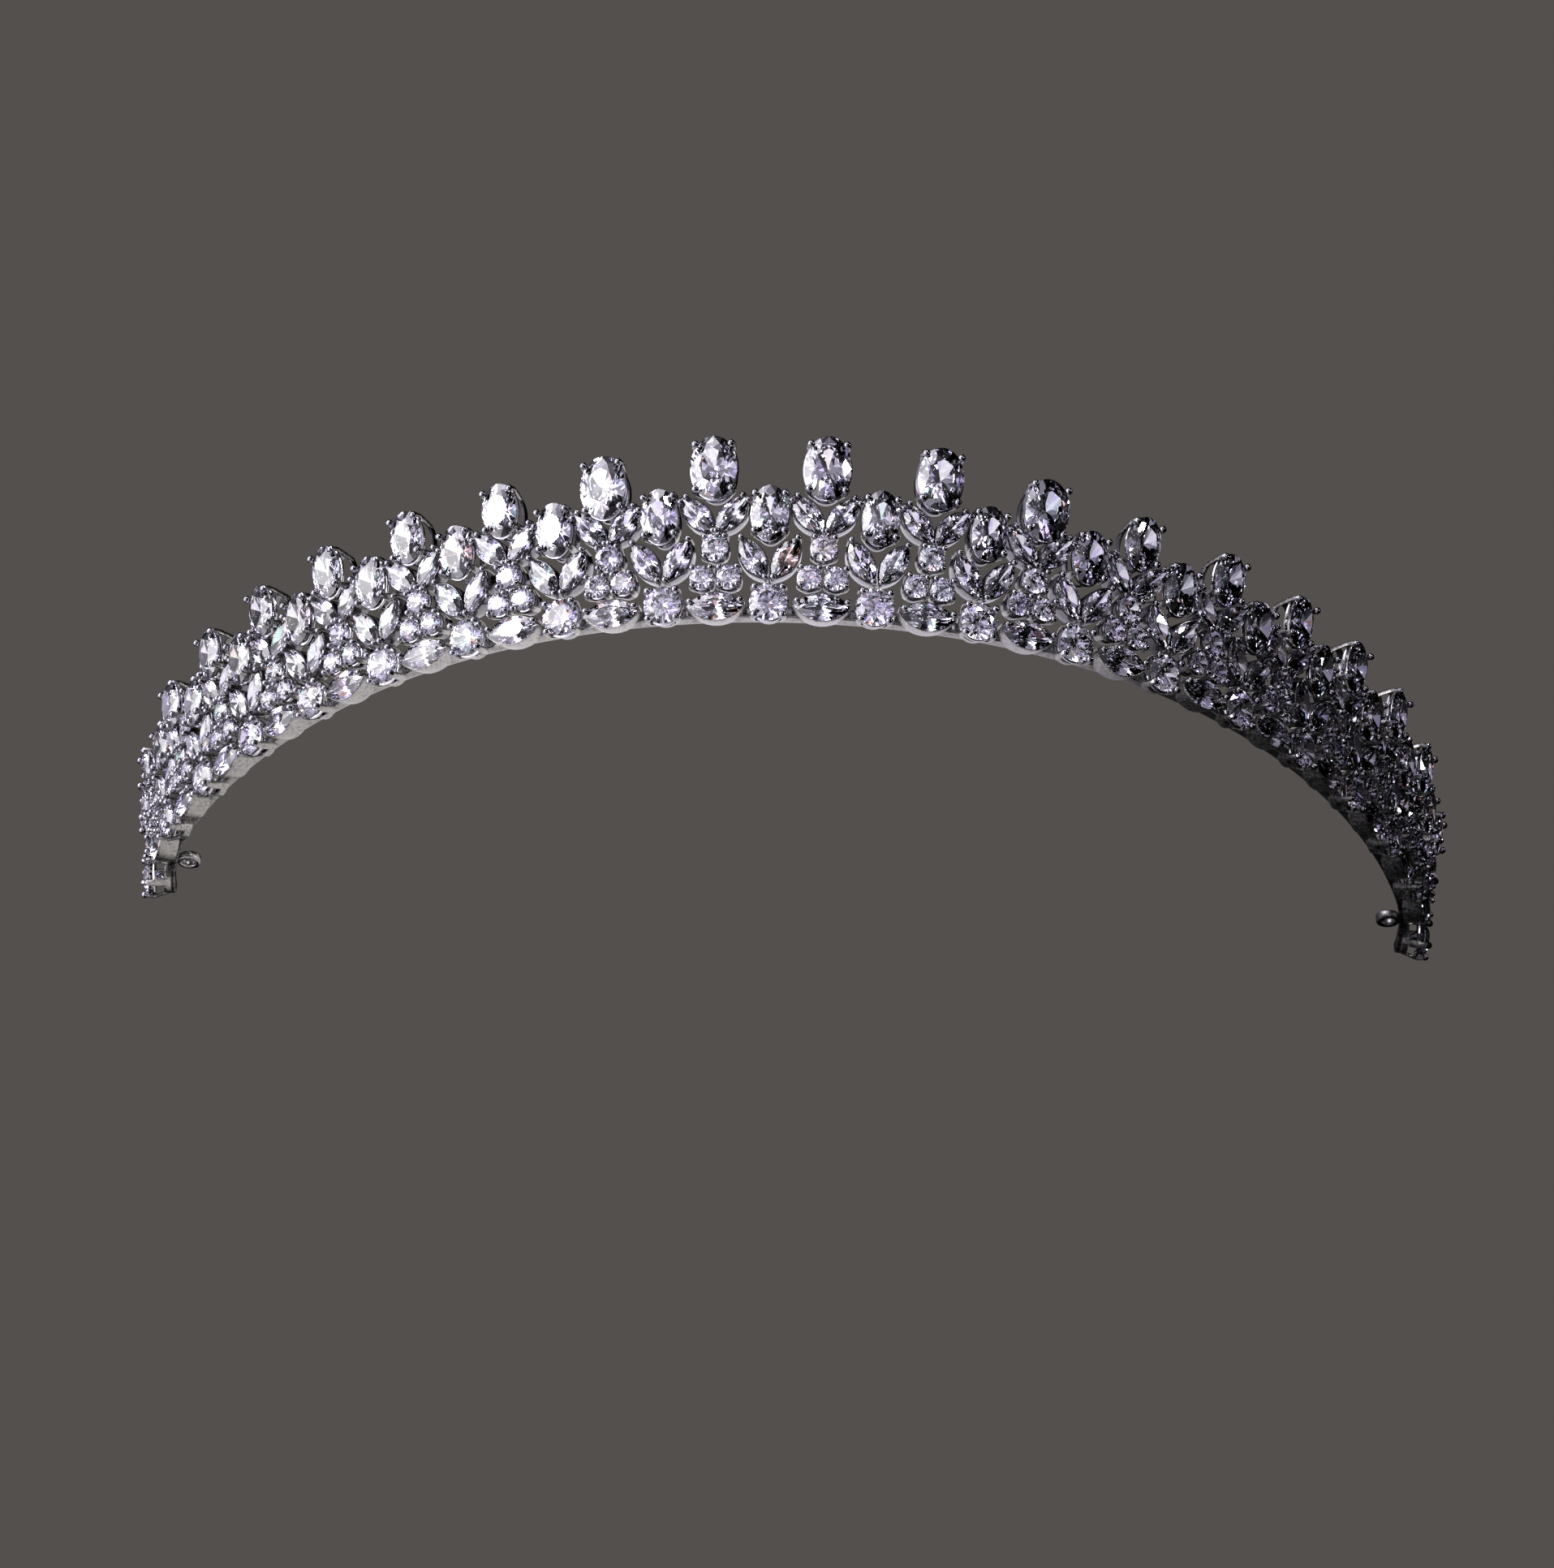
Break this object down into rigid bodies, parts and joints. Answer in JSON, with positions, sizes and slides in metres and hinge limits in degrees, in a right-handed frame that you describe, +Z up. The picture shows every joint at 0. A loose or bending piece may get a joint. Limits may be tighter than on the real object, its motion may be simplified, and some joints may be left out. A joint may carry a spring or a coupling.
{
  "type": "bridal tiara",
  "caption": "Rigid openwork bridal tiara: an arched rail carrying alternating columns of claw-set oval, round and marquise stones, with eyelets at both ends.",
  "frame": {"origin": "centre of the bounding box, at its bottom: the lowest edges of the bottom row are on Z = 0", "axes": "+Z up from the bottom row to the crest, -Y towards the front of the tiara, +Y towards its two ends, X from the wearer's right (-X) to left, mirror plane X = 0"},
  "size_m": [0.1554, 0.0776, 0.0204],
  "materials": {
    "rail": "polished rhodium plate over brass",
    "settings": "polished rhodium plate over cast brass, walls faintly textured",
    "stones": "clear faceted cubic zirconia"
  },
  "bodies": {
    "root": {"base_rail": "rail", "cluster_rounds": "stones", "crest_end_ovals": "stones", "crest_large_ovals": "stones", "crest_ovals": "stones", "crest_setting_centre": "settings", "crest_setting_left_1": "settings", "crest_setting_left_2": "settings", "crest_setting_left_3": "settings", "crest_setting_left_4": "settings", "crest_setting_left_5": "settings", "crest_setting_left_6": "settings", "crest_setting_left_7": "settings", "crest_setting_left_8": "settings", "crest_setting_left_9": "settings", "crest_setting_right_1": "settings", "crest_setting_right_2": "settings", "crest_setting_right_3": "settings", "crest_setting_right_4": "settings", "crest_setting_right_5": "settings", "crest_setting_right_6": "settings", "crest_setting_right_7": "settings", "crest_setting_right_8": "settings", "crest_setting_right_9": "settings", "hairpin_loop_left": "rail", "hairpin_loop_right": "rail", "lower_marquises": "stones", "rail_marquises": "stones", "rail_rounds": "stones", "upper_marquises": "stones", "upper_rounds": "stones", "valley_ovals": "stones", "valley_setting_left_1": "settings", "valley_setting_left_10": "settings", "valley_setting_left_2": "settings", "valley_setting_left_3": "settings", "valley_setting_left_4": "settings", "valley_setting_left_5": "settings", "valley_setting_left_6": "settings", "valley_setting_left_7": "settings", "valley_setting_left_8": "settings", "valley_setting_left_9": "settings", "valley_setting_right_1": "settings", "valley_setting_right_10": "settings", "valley_setting_right_2": "settings", "valley_setting_right_3": "settings", "valley_setting_right_4": "settings", "valley_setting_right_5": "settings", "valley_setting_right_6": "settings", "valley_setting_right_7": "settings", "valley_setting_right_8": "settings", "valley_setting_right_9": "settings"}
  },
  "joints": []
}
